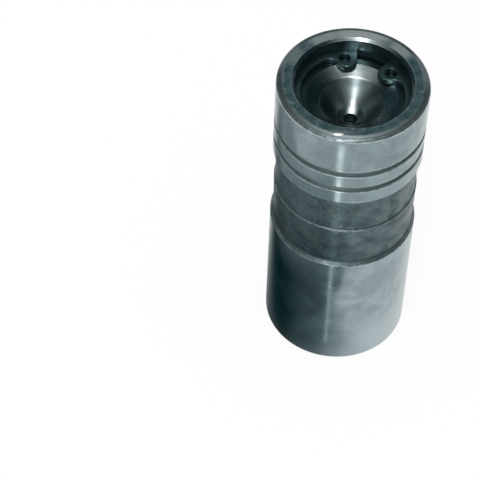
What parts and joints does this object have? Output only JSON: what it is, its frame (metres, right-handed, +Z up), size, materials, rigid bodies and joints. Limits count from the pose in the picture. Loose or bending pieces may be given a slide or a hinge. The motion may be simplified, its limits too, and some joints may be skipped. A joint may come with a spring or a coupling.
{
  "type": "hydraulic valve lifter",
  "caption": "Flat-footed hydraulic valve lifter: a turned steel body with a spring-loaded plunger, a pushrod seat and a check valve, held in by an internal retaining ring.",
  "frame": {"origin": "middle of the cam face, the flat foot that the lifter stands on", "axes": "+Z up along the lifter's axis, from the foot to the pushrod seat; +Y towards the oil feed hole, away from the picture's viewer; +X to the viewer's right"},
  "size_m": [0.0214, 0.0214, 0.0508],
  "materials": {
    "ground_steel": "ground and polished lands and body, dark heat-treated neck and waist",
    "oiled_spring_steel": "stamped, dark and oiled",
    "turned_steel": "turned and tumbled, with a polished socket",
    "spring_steel_sheet": "stamped and tumbled",
    "lapped_steel": "ground and lapped",
    "bearing_steel": "polished",
    "spring_wire": "drawn and oiled",
    "stamped_steel": "stamped and case hardened"
  },
  "bodies": {
    "lifter_body": {"lifter_body": "ground_steel", "retaining_ring": "oiled_spring_steel", "plunger_spring": "spring_wire"},
    "plunger": {"plunger": "lapped_steel", "pushrod_seat": "turned_steel", "metering_disc": "spring_steel_sheet", "check_ball_retainer": "stamped_steel", "check_ball_spring": "spring_wire"},
    "check_ball": {"check_ball": "bearing_steel"}
  },
  "joints": [
    {"name": "plunger_travel", "type": "slide", "parent": "lifter_body", "child": "plunger", "axis": [0, 0, 1], "range_m": [-0.0042, 0], "stiffness_N_per_m": 4000, "springref_m": 0.003, "deforming": ["plunger_spring"]},
    {"name": "check_ball_travel", "type": "slide", "parent": "plunger", "child": "check_ball", "axis": [0, 0, 1], "range_m": [-0.0004, 0], "stiffness_N_per_m": 50, "springref_m": 0.0006, "deforming": ["check_ball_spring"]}
  ]
}
